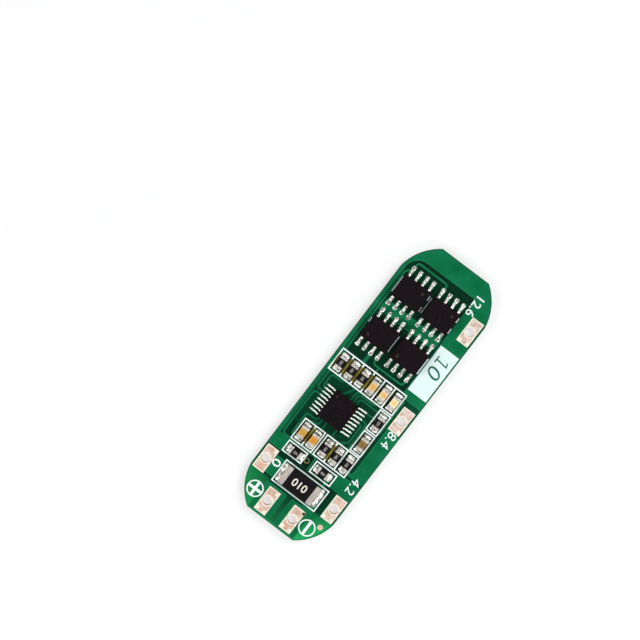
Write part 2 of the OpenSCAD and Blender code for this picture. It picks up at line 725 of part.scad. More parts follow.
module transistor_solder() {
    color("gainsboro")
        for (site = fet_sites)
            difference() {
                at_site(site, top_z)
                    lead_joints(fet_pins, fet_pitch, fet_w, fet_span, fet_land_w, fet_toe, fet_lead_t);
                at_site(site) leads(fet_pins, fet_pitch, fet_lead_w, fet_lead_points);
            }
}

// The IC's lead rows run along the board, so it is turned a quarter
ic_site = [ic_x, ic_y, 90];

module protection_ic_leads() {
    color("silver") at_site(ic_site) leads(ic_pins, ic_pitch, ic_lead_w, ic_lead_points);
}

module protection_ic_body() {
    color("#28242a")
        at_site(ic_site)
            difference() {
                moulded_body(ic_l, ic_w, ic_h, ic_dimple_d, ic_dimple_in);
                leads(ic_pins, ic_pitch, ic_lead_w, ic_lead_points);
            }
}

module protection_ic_solder() {
    color("gainsboro")
        difference() {
            at_site(ic_site, top_z)
                lead_joints(ic_pins, ic_pitch, ic_w, ic_span, ic_land_w, ic_toe, ic_lead_t);
            at_site(ic_site) leads(ic_pins, ic_pitch, ic_lead_w, ic_lead_points);
        }
}

// ---------------------------------------------------------------- chip parts

// Ceramic block of a chip; side_t is the metal on its two long sides
module chip_block(l, w, h, side_t) {
    translate([-l / 2 + cap_t, -w / 2 + side_t, cap_t])
        cube([l - 2 * cap_t, w - 2 * side_t, h - 2 * cap_t]);
}

// End caps folded round the block's ends
module chip_caps(l, w, h, cap_l, side_t) {
    difference() {
        for (side = [0, 1])
            mirror([side, 0, 0])
                translate([l / 2 - cap_l, -w / 2, 0]) cube([cap_l, w, h]);
        chip_block(l, w, h, side_t);
    }
}

// Resistor: bare block with a black coat between the caps, which wrap three sides
module coated_block(l, w, h, cap_l) {
    chip_block(l, w, h, 0);
    translate([-l / 2 + cap_l, -w / 2 + 2 * coat_t, h - cap_t])
        cube([l - 2 * cap_l, w - 4 * coat_t, cap_t + coat_t]);
}

// Solder of one chip: a film under each cap and a hollow fillet up its end
module chip_joints(l, w, h, cap_l, toe) {
    points = concat(
        [[l / 2 - cap_l, 0], [l / 2 - cap_l, solder_t], [l / 2, solder_t],
         [l / 2, solder_t + chip_climb * h]],
        meniscus(l / 2, toe, solder_t / 2, solder_t + chip_climb * h),
        [[l / 2 + toe, 0]]);
    for (side = [0, 1])
        mirror([side, 0, 0])
            rotate([90, 0, 0]) linear_extrude(w, center = true) polygon(points);
}

module capacitor(i) {
    color("burlywood")
        at_site(capacitor_sites[i - 1]) chip_block(chip_l, chip_w, capacitor_h, cap_t);
}

module capacitor_caps(i) {
    color("silver")
        at_site(capacitor_sites[i - 1]) chip_caps(chip_l, chip_w, capacitor_h, chip_cap_l, cap_t);
}

module resistor(i) {
    color("#2c2a2a")
        at_site(resistor_sites[i - 1]) coated_block(chip_l, chip_w, resistor_h, chip_cap_l);
}

module resistor_caps(i) {
    color("silver")
        at_site(resistor_sites[i - 1]) chip_caps(chip_l, chip_w, resistor_h, chip_cap_l, 0);
}

module chip_solder() {
    color("gainsboro") {
        for (site = capacitor_sites)
            at_site(site, top_z) chip_joints(chip_l, chip_w, capacitor_h, chip_cap_l, chip_toe);
        for (site = resistor_sites)
            at_site(site, top_z) chip_joints(chip_l, chip_w, resistor_h, chip_cap_l, chip_toe);
    }
}

// The shunt is a large coated chip that stands across the board
shunt_site = [shunt_x, shunt_y, 90];

module shunt() {
    color("#2c2a2a") at_site(shunt_site) coated_block(shunt_l, shunt_w, shunt_h, shunt_cap_l);
}

module shunt_caps() {
    color("silver") at_site(shunt_site) chip_caps(shunt_l, shunt_w, shunt_h, shunt_cap_l, 0);
}

module shunt_solder() {
    color("gainsboro")
        at_site(shunt_site, top_z) chip_joints(shunt_l, shunt_w, shunt_h, shunt_cap_l, shunt_toe);
}

// ---------------------------------------------------------------- nodes

laminate();
top_foil();
bottom_foil();
through_via();
test_point();
terminal(top_cell_at);  // terminal_top_cell
terminal(middle_cell_at);  // terminal_middle_cell
terminal(bottom_cell_at);  // terminal_bottom_cell
terminal(zero_at);  // terminal_zero
terminal(minus_at);  // terminal_minus
terminal(plus_at);  // terminal_plus
for (i = [1 : len(fet_sites)]) {
    transistor_body(i);
    transistor_leads(i);
}
transistor_solder();
protection_ic_body();
protection_ic_leads();
protection_ic_solder();
for (i = [1 : len(capacitor_sites)]) {
    capacitor(i);
    capacitor_caps(i);
}
for (i = [1 : len(resistor_sites)]) {
    resistor(i);
    resistor_caps(i);
}
chip_solder();
shunt();
shunt_caps();
shunt_solder();
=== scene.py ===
# %% [markdown]
# # A battery management board, dressed for the camera
# The model that arrives from CAD has every solid in its true place, with sharp edges and plain
# colours. This notebook gives each piece the look of the real thing and leaves every size alone.
# The first cell loads the frame and reads the box of any of its nodes. The dressed board has to
# end up the same size.

# %% Load the frame
import math
import random

import bmesh
import bpy
from mathutils import Matrix, Vector


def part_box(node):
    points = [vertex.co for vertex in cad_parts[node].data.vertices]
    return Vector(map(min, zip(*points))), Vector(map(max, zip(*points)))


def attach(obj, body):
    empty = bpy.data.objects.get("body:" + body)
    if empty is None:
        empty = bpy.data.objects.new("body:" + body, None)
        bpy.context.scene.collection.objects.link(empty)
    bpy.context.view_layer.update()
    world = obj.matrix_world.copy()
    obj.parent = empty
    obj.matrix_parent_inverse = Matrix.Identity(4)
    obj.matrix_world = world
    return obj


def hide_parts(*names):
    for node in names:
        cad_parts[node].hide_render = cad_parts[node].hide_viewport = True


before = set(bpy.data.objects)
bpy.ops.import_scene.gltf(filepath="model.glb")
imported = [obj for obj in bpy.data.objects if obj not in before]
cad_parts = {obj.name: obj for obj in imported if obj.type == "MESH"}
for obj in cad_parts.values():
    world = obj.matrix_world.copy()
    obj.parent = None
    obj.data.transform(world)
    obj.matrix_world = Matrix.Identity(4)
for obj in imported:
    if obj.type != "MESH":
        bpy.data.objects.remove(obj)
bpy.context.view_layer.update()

# %% [markdown]
# Blender works in metres here and a circuit board is thought of in millimetres, so lengths are
# written in millimetres and multiplied once, where a mesh is made. The board's own heights are
# read from its nodes.

# %% Millimetres and the board's heights
MM = 0.001


def span_of(node):
    """Lowest corner, highest corner and middle of a CAD node, in millimetres."""
    low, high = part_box(node)
    return low / MM, high / MM, (low + high) / 2 / MM


board_low, board_high, _ = span_of("laminate")
foil_top = span_of("top_foil")[1].z
foil_under = 0.0
print("laminate", round(board_low.z, 3), round(board_high.z, 3), "copper up to", round(foil_top, 3))

# %% [markdown]
# The camera looks almost straight down on the board from 300 mm away, turned so that the end
# with the output terminals points to the lower left. A camera looks along its own -Z with +Y
# up, so its axes are built from two directions on the board: what is up in the frame, and
# the line back to the lens, which leans a few degrees from upright, both up and to the right.

# %% Camera
frame_up = Vector((-0.7992, -0.6011, 0))
lens_away, frame_width = 300, 98.05
lean_up, lean_right = math.radians(5.2), math.radians(4.3)
aim = Vector((-5.01, -12.79, foil_top))
upright = Vector((0, 0, 1))
back = (upright * math.cos(lean_up) + frame_up * math.sin(lean_up)
        + frame_up.cross(upright) * math.sin(lean_right)).normalized()
right = frame_up.cross(back).normalized()
camera_data = bpy.data.cameras.new("board_camera")
camera_data.sensor_width = 36
camera_data.lens = camera_data.sensor_width * lens_away / frame_width
camera_data.clip_start = 0.01
camera = bpy.data.objects.new("board_camera", camera_data)
camera.matrix_world = Matrix.Translation((aim + back * lens_away) * MM) @ Matrix(
    (right, back.cross(right), back)).transposed().to_4x4()
bpy.context.scene.collection.objects.link(camera)
bpy.context.scene.camera = camera
print("camera at", [round(v, 3) for v in camera.location])

# %% [markdown]
# Solder and bare copper only look like metal when they have something to reflect. Two wide
# soft lamps stand on opposite sides, and a weaker one beyond the long edge of the cell
# terminals. With the pale world further down they add up to a plain level: a white card on the
# board would come out just below white, so every colour is written as it should be seen.

# %% Lamps
bpy.context.scene.view_settings.view_transform = "Standard"


def soft_lamp(name, place, size, power):
    """Square lamp at a place in millimetres that faces the board's middle."""
    data = bpy.data.lights.new(name, "AREA")
    data.size, data.energy = size * MM, power
    lamp = bpy.data.objects.new(name, data)
    lamp.location = Vector(place) * MM
    lamp.rotation_euler = (-lamp.location).to_track_quat("-Z", "Y").to_euler()
    bpy.context.scene.collection.objects.link(lamp)


soft_lamp("key_lamp", (-300, 150, 300), 240, 1.2)
soft_lamp("fill_lamp", (280, -230, 260), 260, 0.85)
soft_lamp("side_lamp", (120, 330, 260), 200, 0.48)

# %% [markdown]
# A finish is a small network of nodes, and a network reads best as a sum. `Signal` wraps one
# output of a node and overloads the arithmetic, so `1 - grain * 0.2` adds the Math nodes by
# itself. `Network` has one method that adds any other node, settings first and then sockets.

# %% Signals and networks
class Signal:
    """One output socket that can be added, multiplied and compared."""

    def __init__(self, network, socket):
        self.network, self.socket = network, socket

    def math(self, operation, a, b=0, clamp=False):
        if self.socket.type in ("VECTOR", "RGBA"):
            a, b = [(v, v, v) if isinstance(v, (int, float)) else v for v in (a, b)]
            return self.network.node("VectorMath", {0: a, 1: b}, operation=operation)
        return self.network.node("Math", {0: a, 1: b}, operation=operation, use_clamp=clamp)

    def __add__(self, other):
        return self.math("ADD", self, other)

    def __sub__(self, other):
        return self.math("SUBTRACT", self, other)

    def __rsub__(self, other):
        return self.math("SUBTRACT", other, self)

    def __mul__(self, other):
        return self.math("MULTIPLY", self, other)

    __radd__, __rmul__ = __add__, __mul__

    def __abs__(self):
        return self.math("ABSOLUTE", self)

    def most(self, other):
        """The larger of two signals."""
        return self.math("MAXIMUM", self, other)

    def ramp(self, low, high):
        """0 up to low, 1 from high on, and a straight line between."""
        return self.math("DIVIDE", self - low, high - low, clamp=True)


class Network:
    """A tree of nodes, with one method that adds any node to it."""

    def __init__(self, tree):
        self.tree = tree

    def node(self, kind, values=(), out=0, **settings):
        """Node of a kind: its settings come first, then the values or links of its sockets."""
        new = self.tree.nodes.new("ShaderNode" + kind)
        for key, value in settings.items():
            setattr(new, key, value)
        for key, value in dict(values).items():
            if isinstance(value, Signal):
                self.tree.links.new(value.socket, new.inputs[key])
            else:
                new.inputs[key].default_value = value
        return Signal(self, new.outputs[out])

    def seen(self):
        """1 for rays from the camera or off bright metal, 0 for the rays that light things."""
        camera_ray = self.node("LightPath", out="Is Camera Ray")
        return camera_ray.most(self.node("LightPath", out="Is Glossy Ray"))

    def show(self, shader, output):
        self.tree.links.new(shader.socket, self.tree.nodes[output].inputs["Surface"])


print("classes", Signal.__name__, Network.__name__)

# %% [markdown]
# `Finish` is one material. It keeps the numbers that are the same all over on its shader, and
# places its patterns in millimetres on the board, so a grain has the same size on every piece.
# Most metals, inks and paints are one colour with patches of another, and that is `mottled`.

# %% Finishes
class Finish(Network):
    def __init__(self, name, colour, **constants):
        self.material = bpy.data.materials.new(name)
        self.material.use_nodes = True
        super().__init__(self.material.node_tree)
        self.shader = self.tree.nodes["Principled BSDF"]
        self.set("Base Color", (*colour, 1))
        for socket, value in constants.items():
            self.set(socket.replace("_", " "), value)

    def set(self, socket, value):
        if isinstance(value, Signal):
            self.tree.links.new(value.socket, self.shader.inputs[socket])
        else:
            self.shader.inputs[socket].default_value = value
        return self

    def place(self):
        """Where a point is on the board, in millimetres."""
        return self.node("TexCoord", out="Object") * (1000, 1000, 1000)

    def axis(self, letter):
        return self.node("SeparateXYZ", {0: self.place()}, out=letter)

    def upward(self):
        """1 on a face that looks up, 0 on an upright one, -1 on one that looks down."""
        return self.node("SeparateXYZ", {0: self.node("NewGeometry", out="Normal")}, out="Z")

    def grain(self, pitch, detail=2, stretch=(1, 1, 1)):
        """Soft noise from 0 to 1 whose lumps are about pitch millimetres apart."""
        return self.node("TexNoise", {
            "Vector": self.place() * stretch, "Scale": 1 / pitch, "Detail": detail})

    def waves(self, letter, scale, distortion):
        """Bands across one axis."""
        return self.node("TexWave", {"Vector": self.place(), "Scale": scale,
                                     "Distortion": distortion}, bands_direction=letter)

    def mix(self, share, first, second):
        """Blend of two colours: first where share is 0, second where it is 1."""
        first, second = [(*c, 1) if isinstance(c, tuple) else c for c in (first, second)]
        return self.node("Mix", {0: share, 6: first, 7: second}, out=2, data_type="RGBA")

    def relief(self, height, depth):
        """Bump from a height signal; depth is in millimetres."""
        return self.set("Normal", self.node("Bump", {
            "Height": height, "Strength": 1.0, "Distance": depth * MM}))


def mottled(name, first, second, pitch, low, high, **constants):
    """Finish that turns from first to second where a grain rises from low to high."""
    f = Finish(name, first, **constants)
    return f.set("Base Color", f.mix(f.grain(pitch).ramp(low, high), first, second))


print("patterns are placed in steps of", MM, "m")

# %% [markdown]
# The room is a light tent. A pale world lights things, while the camera and bright metal see
# white paper all round. The floor does the same, but near the board part of it stays an
# ordinary painted surface, so it still takes the board's soft shadow.

# %% World and floor
world = bpy.data.worlds.new("pale_room")
bpy.context.scene.world = world
world.use_nodes = True
room = Network(world.node_tree)
room.tree.nodes.remove(room.tree.nodes["Background"])
pale = room.node("Background", {"Color": (0.97, 0.98, 1, 1), "Strength": 0.33})
paper = room.node("Background", {"Color": (1, 1, 1, 1), "Strength": 1.0})
room.show(room.node("MixShader", {0: room.seen(), 1: pale, 2: paper}), "World Output")


def lay_floor(reach=600, height=-0.04, near=60, far=170, least=0.6):
    """Sheet just below the board; its share of white grows from least at near to 1 at far."""
    corners = [(x * reach * MM, y * reach * MM, height * MM)
               for x, y in ((-1, -1), (1, -1), (1, 1), (-1, 1))]
    mesh = bpy.data.meshes.new("pale_floor")
    mesh.from_pydata(corners, [], [(0, 1, 2, 3)])
    paint = Finish("floor_paint", (0.96, 0.96, 0.96), Roughness=0.9)
    x, y = paint.axis("X"), paint.axis("Y")
    share = (x * x + y * y).ramp(near ** 2, far ** 2) * (1 - least) + least
    painted = Signal(paint, paint.shader.outputs[0])
    white = paint.node("Emission", {"Color": (1, 1, 1, 1), "Strength": 1.0})
    paint.show(paint.node("MixShader", {0: paint.seen() * share, 1: painted, 2: white}),
               "Material Output")
    mesh.materials.append(paint.material)
    floor = bpy.data.objects.new("pale_floor", mesh)
    bpy.context.scene.collection.objects.link(floor)
    return floor


print("world", world.name, "floor", lay_floor().name)

# %% [markdown]
# Nothing on a real board has a knife edge. Each CAD node is copied, its triangles are merged
# back into whole faces, and every sharp edge gets a small rounded bevel that catches a line
# of light. The copy then stands in for its node.

# %% Making pieces
MERGE = 2e-7  # metres


def new_piece(name, mesh, finish, smooth=40, flat_first=False):
    """Mesh -> object that rides with the board; flat_first keeps broad faces flat by bevels."""
    mesh.materials.clear()
    mesh.materials.append(finish.material)
    for face in mesh.polygons:
        face.use_smooth = True
    mesh.set_sharp_from_angle(angle=math.radians(smooth))
    piece = bpy.data.objects.new(name, mesh)
    bpy.context.scene.collection.objects.link(piece)
    if flat_first:
        piece.modifiers.new("flat_faces_first", "WEIGHTED_NORMAL").keep_sharp = True
        whole = piece.evaluated_get(bpy.context.evaluated_depsgraph_get())
        piece.data = bpy.data.meshes.new_from_object(whole)
        piece.modifiers.clear()
    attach(piece, "root")
    return piece


def mesh_of(shape, name, turned=True):
    """bmesh -> mesh; turned makes every face look outward."""
    if turned:
        bmesh.ops.recalc_face_normals(shape, faces=shape.faces)
    mesh = bpy.data.meshes.new(name)
    shape.to_mesh(mesh)
    shape.free()
    return mesh


def copy_of(node):
    """Shape of a CAD node with its doubled points merged."""
    shape = bmesh.new()
    shape.from_mesh(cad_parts[node].data)
    bmesh.ops.remove_doubles(shape, verts=shape.verts, dist=MERGE)
    return shape


def eased(node, finish, edge, only=None):
    """Copy of a CAD node with its sharp edges rounded by edge millimetres."""
    shape = copy_of(node)
    bmesh.ops.dissolve_limit(shape, angle_limit=0.01, verts=shape.verts, edges=shape.edges)
    shape.normal_update()
    sharp = [e for e in shape.edges if len(e.link_faces) == 2 and e.calc_face_angle(0) > 0.5
             and (only is None or only(e))]
    bmesh.ops.bevel(shape, geom=sharp, offset=edge * MM, segments=2, profile=0.5,
                    affect="EDGES", clamp_overlap=True)
    name = node + "_eased"
    piece = new_piece(name, mesh_of(shape, name, turned=False), finish, flat_first=True)
    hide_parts(node)
    return piece


print("nodes to dress", len(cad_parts))

# %% [markdown]
# Many finishes change from place to place: among the fine tracks, beside an output, between
# two chips. Such a place is a mask, a signal that is 1 inside and 0 outside, with a soft step.

# %% Masks
def outside(signal, low, high, soft):
    """1 where a signal is below low or above high, 0 between, with a soft step."""
    return (low - signal).ramp(0, soft).most((signal - high).ramp(0, soft))


def inside(signal, low, high, soft):
    """1 where a signal is between low and high, 0 beyond, with a soft step."""
    return 1 - outside(signal, low, high, soft)


def field(f, x0, x1, y0, y1, soft):
    """1 on a rectangle of the board, 0 beyond it."""
    return inside(f.axis("X"), x0, x1, soft) * inside(f.axis("Y"), y0, y1, soft)


def round_chip(f):
    """1 among the fine tracks round the protection IC, 0 elsewhere."""
    low, high, _ = span_of("protection_ic_leads")
    return field(f, low.x - 1.8, high.x + 2.6, low.y - 2.2, high.y + 1.6, 0.6)


def lying_flat(f):
    """1 on faces that look up or down, 0 on upright ones."""
    return abs(f.upward()).ramp(0.3, 0.8)


print("fine tracks lie round", span_of("protection_ic_leads")[2])

# %% [markdown]
# The laminate is woven glass in epoxy under a green mask. From above it is the dark green between
# the copper areas. Light passes through it where there is no copper on either side, which makes the
# corners at the output end glow, and that glow is painted into its colour. Among the fine tracks
# the mask is thinner, so foil and laminate differ less there, and painted shade darkens the
# laminate among chips that stand close together. The cut edge shows pale bundles of glass fibre.

# %% Laminate
MASK = {"Roughness": 0.3, "Specular_IOR_Level": 0.04, "Coat_Weight": 0.03, "Coat_Roughness": 0.15}


def light_through(f):
    """How much light comes through the laminate at the output end."""
    x, y = f.axis("X"), f.axis("Y")
    minus, plus = span_of("terminal_minus")[2].y, span_of("terminal_plus")[2].y
    beside = (x - 19.2).ramp(0, 0.35) * outside(y, plus - 1.65, minus + 1.65, 0.3)
    corner = (x + abs(y)).ramp(24.5, 29.5) * (y.ramp(-6, 0) * 0.5 + 0.5)
    end = (x - (board_high.x - 0.6)).ramp(0, 0.5)
    return (beside * (corner * 0.75 + 0.25)).most(end * 0.85).most((x - 18.8).ramp(0, 6) * 0.3)


def painted_shade_between_chips(f):
    """1 among the chips of one column, where the laminate gets painted shade; half is half the
    column's width.
    """
    chip_shade = 0
    for first, last, half in (
            ("capacitor_1", "resistor_3", 1.8), ("resistor_5", "resistor_7", 1.8),
            ("capacitor_5", "capacitor_6", 1.8), ("resistor_8", "resistor_9", 0.8)):
        a, b = span_of(first + "_caps")[1], span_of(last + "_caps")[0]
        middle = (a.x + b.x) / 2
        chip_shade = field(f, middle - half, middle + half, b.y - 0.15, a.y + 0.15, 0.15) + chip_shade
    return chip_shade


def masked_laminate():
    f = Finish("masked_laminate", (0.0, 0.026, 0.011), **MASK)
    weave = f.waves("X", 0.35, 0.6) * f.waves("Y", 0.35, 0.6)
    face = f.mix((f.axis("Y") - 4.8).ramp(0, 1.2) * 0.5, (0.0, 0.024, 0.0105), (0.0, 0.1, 0.045))
    face = f.mix(light_through(f), face, (0.016, 0.42, 0.115))
    face = f.mix(round_chip(f) * 0.5, face, (0.0, 0.05, 0.022))
    face = f.mix(weave * 0.12, face, (0.006, 0.12, 0.045))
    # painted shade: the laminate among the chips of each close column is darkened
    face = f.mix(painted_shade_between_chips(f) * 0.7, face, (0.001, 0.006, 0.003))
    plies = f.waves("Z", 1.6, 1.5) * f.grain(0.3, stretch=(1, 1, 6))
    cut = f.mix(plies, (0.012, 0.15, 0.04), (0.16, 0.4, 0.14))
    f.set("Base Color", f.mix(lying_flat(f), cut, face))
    return f.relief(weave * 0.5 + f.grain(0.25) * 0.5, 0.003)


laminate = eased("laminate", masked_laminate(), 0.04)
print("laminate faces", len(laminate.data.polygons))

# %% [markdown]
# Solder mask over copper is the vivid green of the board. The lacquer rounds over the edge
# of each copper area, so only the edges of the outer face are eased, and it pools a little,
# which is a slow change of tone and a faint orange-peel bump. On the underside, four fields
# of filled vias carry the transistors' heat through: a grid of dark dots in the copper.

# %% Masked copper
def masked_copper(name, low, high, share=None, fields=(), fine=None):
    """share says where low turns to high, if not in slow pools; fine colours the fine tracks."""
    f = Finish(name, high, **MASK)
    tone = f.mix(share(f) if share else f.grain(3.0, 3).ramp(0.3, 0.7), low, high)
    if fine:
        tone = f.mix(round_chip(f), tone, fine)
    peel = f.grain(0.35, 1)
    if fields:
        shade = sum(field(f, *corners, 0.1) for corners in fields)
        dots = 1 - f.node("TexVoronoi", {"Vector": f.place(), "Scale": 1.5, "Randomness": 0.0},
                          voronoi_dimensions="2D").ramp(0.18, 0.3)
        tone = f.mix(shade * (dots * 0.4 + 0.45), tone, (0.001, 0.045, 0.02))
        peel = peel - shade * dots * 2
    f.set("Base Color", tone)
    f.set("Roughness", f.grain(1.2) * 0.14 + 0.22)
    return f.relief(peel, 0.004)


def at_height(vertex, z):
    return abs(vertex.co.z / MM - z) < 0.005


def on_face(z):
    """Test for edges that lie in the face at height z."""
    return lambda edge: all(at_height(v, z) for v in edge.verts)


top_copper = masked_copper("masked_copper_top", (0.001, 0.13, 0.043), (0.006, 0.19, 0.073),
                           fine=(0.001, 0.115, 0.042))
under_copper = masked_copper(
    "masked_copper_under", (0.001, 0.14, 0.045), (0.004, 0.18, 0.06),
    fields=[(x, x + 2.9, y, y + 3.6) for x in (-18.4, -10.4) for y in (0.25, -6.5)])
top_foil = eased("top_foil", top_copper, 0.03, only=on_face(foil_top))
bottom_foil = eased("bottom_foil", under_copper, 0.03, only=on_face(foil_under))
print("foil faces", len(top_foil.data.polygons), len(bottom_foil.data.polygons))

# %% [markdown] Pale outlines of the copper, painted highlights
# Every track and sheet wears a thin paler outline: a painted highlight where light catches the
# copper's edge under the lacquer. `edge_strips` finds the edges where a flat face of a node ends,
# steps inward by a strip's width and lays a narrow ribbon there, just proud of the face. It also
# draws the laminate's rim, painted lighter where light reaches it from the cut edge, most of all at
# the output end, and later the tinned rims of the bare pads.

# %% Pale outlines of the copper
LIFT = 0.004


def border_of(shape, z):
    """Edges where the level faces at height z end, and the step inward at each of their points."""
    level = {f for f in shape.faces
             if abs(f.normal.z) > 0.9 and all(at_height(v, z) for v in f.verts)}
    border, inward = [], {}
    for edge in shape.edges:
        faces = [f for f in edge.link_faces if f in level]
        if len(faces) == 1 and len(edge.link_faces) == 2:
            a, b = (v.co for v in edge.verts)
            step = (b - a).cross(Vector((0, 0, 1))).normalized()
            if step.dot(faces[0].calc_center_median() - a) < 0:
                step = -step
            for v in edge.verts:
                inward.setdefault(v, []).append(step)
            border.append(edge)
    corner_steps = {v: sum(steps, Vector()) / max(0.35, 1 + steps[0].dot(steps[-1]))
                    for v, steps in inward.items() if len(steps) == 2}
    return [e for e in border if all(v in corner_steps for v in e.verts)], corner_steps


def edge_strips(nodes, z, width):
    """Ribbons just inside the boundary of the faces that lie flat at height z."""
    up = 1 if z > board_low.z else -1
    strips = bmesh.new()
    for node in nodes:
        shape = copy_of(node)
        border, inward = border_of(shape, z)
        for edge in border:
            a, b = edge.verts
            ring = [a.co, b.co, b.co + inward[b] * width * MM, a.co + inward[a] * width * MM]
            face = strips.faces.new([
                strips.verts.new(Vector((c.x, c.y, (z + up * LIFT) * MM))) for c in ring])
            face.normal_update()
            if face.normal.z * up < 0:
                face.normal_flip()
        shape.free()
    bmesh.ops.remove_doubles(strips, verts=strips.verts, dist=MERGE / 2)
    return mesh_of(strips, "edge_strips", turned=False)


# painted highlight: a paler green strip along every copper edge
copper_edge_highlight = masked_copper("painted_edge_highlight", (0.008, 0.19, 0.08), (0.02, 0.26, 0.12),
                          fine=(0.014, 0.17, 0.08))
lit_rim = masked_copper("masked_rim", (0.002, 0.1, 0.042), (0.004, 0.2, 0.06),
                        share=lambda f: (f.axis("X") - 17.5).ramp(0, 3))
for name, node, z, width, finish in (
        ("top_foil_outline", "top_foil", foil_top, 0.075, copper_edge_highlight),
        ("upper_rim", "laminate", board_high.z, 0.2, lit_rim),
        ("bottom_foil_outline", "bottom_foil", foil_under, 0.09, copper_edge_highlight),
        ("lower_rim", "laminate", board_low.z, 0.2, lit_rim)):
    outline = new_piece(name, edge_strips([node], z, width), finish)
    print(name, "faces", len(outline.data.polygons))

# %% [markdown]
# The wire terminals are bare copper, pinkish and slightly uneven, with the plated barrel
# shining inside the hole. The surface is brushed by handling and stained brown in patches,
# and more so toward the output end. The round test point wears the same copper. The ring of
# the via is dull, because mask covers most of it.

# %% Wire terminals
def bare_copper(name, low, high, rough, metallic=0.6, stain=None):
    f = Finish(name, high, Metallic=metallic)
    tone = f.mix(f.grain(0.7, 4).ramp(0.38, 0.66), low, high)
    if stain:
        brown = f.grain(1.5, 3).ramp(0.54, 0.7) * 0.55 + f.axis("X").ramp(4, 16) * 0.25
        tone = f.mix(brown, tone, stain)
    f.set("Base Color", tone)
    f.set("Roughness", f.grain(0.5, 3) * 0.2 + rough)
    return f.relief(f.grain(0.18, 3, stretch=(1, 3, 1)), 0.005)


pad_copper = bare_copper("bare_copper", (0.7, 0.58, 0.51), (0.5, 0.37, 0.31), 0.38,
                         stain=(0.6, 0.3, 0.17))
ring_copper = bare_copper("via_ring", (0.16, 0.2, 0.06), (0.07, 0.11, 0.03), 0.4, 0.3)
TERMINALS = [n for n in sorted(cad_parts) if n.startswith("terminal_")]
for node in TERMINALS + ["test_point"]:
    eased(node, pad_copper, 0.02)
eased("through_via", ring_copper, 0.02)
print("terminals", len(TERMINALS))

# %% [markdown]
# Each pad's rim carries a thin coat of tin, and here and there a corner holds a low bead of
# it. The via is plugged with mask, and a tiny second via sits at the minus terminal's corner.
# Beads, plugs and rings are low domes, drawn on both faces of the board.

# %% Tin and mask on the terminals
def wall(shape, lower, upper):
    """Faces between two rings of as many points."""
    for k in range(len(lower)):
        m = (k + 1) % len(lower)
        shape.faces.new((lower[k], lower[m], upper[m], upper[k]))


def stack(shape, rings):
    """Closed solid over rings of as many points."""
    for lower, upper in zip(rings, rings[1:]):
        wall(shape, lower, upper)
    shape.faces.new(rings[-1])
    shape.faces.new(rings[0][::-1])


def dome(shape, x, y, z, radius, height, around=14, rings=4):
    """Low bead on a face at height z; a negative height hangs below it."""
    turn = [2 * math.pi * k / around for k in range(around)]

    def circle(r, level):
        return [shape.verts.new(Vector((x + r * math.cos(t), y + r * math.sin(t), level)) * MM)
                for t in turn]
    angles = [math.pi / 2 * ring / rings for ring in range(rings)]
    stack(shape, [circle(radius * math.cos(a), z + height * math.sin(a)) for a in angles])


def tin_beads():
    """Beads at some corners of the pads; the one beside the tiny via stays off."""
    rng = random.Random(4)
    shape = bmesh.new()
    for node in TERMINALS:
        low, high, mid = span_of(node)
        for sx, sy in ((-1, -1), (-1, 1), (1, -1), (1, 1)):
            if node == "terminal_minus" and sx < 0 < sy or rng.random() < 0.35:
                continue
            x = mid.x + sx * ((high.x - low.x) / 2 - 0.42 - 0.1 * rng.random())
            y = mid.y + sy * ((high.y - low.y) / 2 - 0.36 - 0.08 * rng.random())
            dome(shape, x, y, high.z, 0.24 + 0.08 * rng.random(), 0.03)
            dome(shape, x, y, low.z, 0.24 + 0.08 * rng.random(), -0.02)
    return mesh_of(shape, "tin_beads")


def via_plugs():
    """Mask that fills the via, and the tiny via beside the minus terminal with its ring."""
    plugs, ring = bmesh.new(), bmesh.new()
    low, high, via = span_of("through_via")
    small = span_of("terminal_minus")[2] + Vector((-1.8, 0.95, 0))
    for z, up in ((high.z, 1), (low.z, -1)):
        dome(plugs, via.x, via.y, z - up * 0.15, 0.205, up * 0.06, around=24)
        dome(plugs, via.x, via.y, z - up * 0.002, 0.29, up * 0.012, around=24, rings=3)
        dome(ring, small.x, small.y, z, 0.3, up * 0.012, around=24, rings=3)
        dome(plugs, small.x, small.y, z + up * 0.004, 0.19, up * 0.012, around=24, rings=3)
    return mesh_of(plugs, "via_plugs"), mesh_of(ring, "small_via")


bright_tin = bare_copper("bright_tin", (0.88, 0.85, 0.72), (0.8, 0.74, 0.6), 0.35, 0.3)
mask_plug = mottled("mask_plug", (0.0005, 0.002, 0.001), (0.002, 0.008, 0.004), 0.1, 0, 1,
                    Roughness=0.5, Specular_IOR_Level=0.05)
beads = new_piece("tin_beads", tin_beads(), bright_tin, smooth=60)
for name, z in (("upper_pad_rims", foil_top), ("lower_pad_rims", foil_under)):
    new_piece(name, edge_strips(TERMINALS, z, 0.18), bright_tin)
plug_mesh, ring_mesh = via_plugs()
new_piece("via_plugs", plug_mesh, mask_plug, smooth=60)
new_piece("small_via", ring_mesh, ring_copper, smooth=60)
print("bead faces", len(beads.data.polygons))

# %% [markdown]
# The transistors and the protection IC are moulded in black epoxy. It is matt with a fine grain,
# and the dimple that marks pin one was polished by the mould, so its floor is smoother than the
# rest; a painted sheen makes that floor a little lighter and browner.

# %% Moulded packages
BODIES = [f"transistor_{i}_body" for i in (1, 2, 3, 4)] + ["protection_ic_body"]
DIMPLE = 0.1


